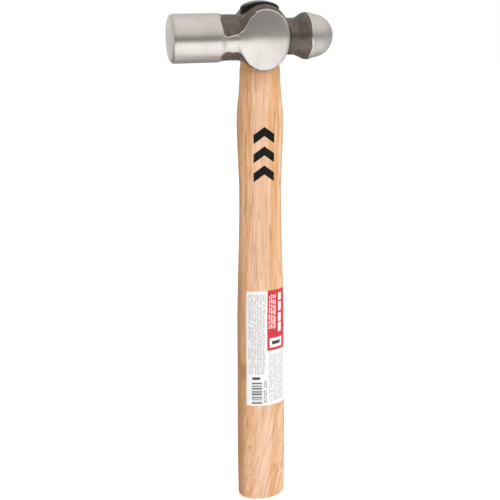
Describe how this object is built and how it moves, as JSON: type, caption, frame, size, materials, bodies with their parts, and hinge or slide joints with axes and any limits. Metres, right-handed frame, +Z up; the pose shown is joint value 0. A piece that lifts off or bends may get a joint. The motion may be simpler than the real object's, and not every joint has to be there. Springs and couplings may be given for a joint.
{
  "type": "ball peen hammer",
  "caption": "Ball peen hammer with a forged steel head wedged and sealed on an oval hardwood handle, with a wrapped paper label on the grip.",
  "frame": {"origin": "middle of the flat butt end of the handle, on the handle's axis", "axes": "+Z up the handle to the head, +X from the handle's axis to the ball peen, so the striking face looks along -X"},
  "size_m": [0.1278, 0.039, 0.41],
  "materials": {
    "forged_steel": "satin",
    "hardwood": "satin",
    "black_resin": "gloss",
    "wedge_wood": "matte",
    "wedge_steel": "satin",
    "label_paper": "satin",
    "black_ink": "matte"
  },
  "bodies": {
    "root": {"head": "forged_steel", "handle": "hardwood", "eye_sealant": "black_resin", "wood_wedge": "wedge_wood", "steel_wedge_front": "wedge_steel", "steel_wedge_rear": "wedge_steel", "label": "label_paper", "printed_mark": "black_ink"}
  },
  "joints": []
}
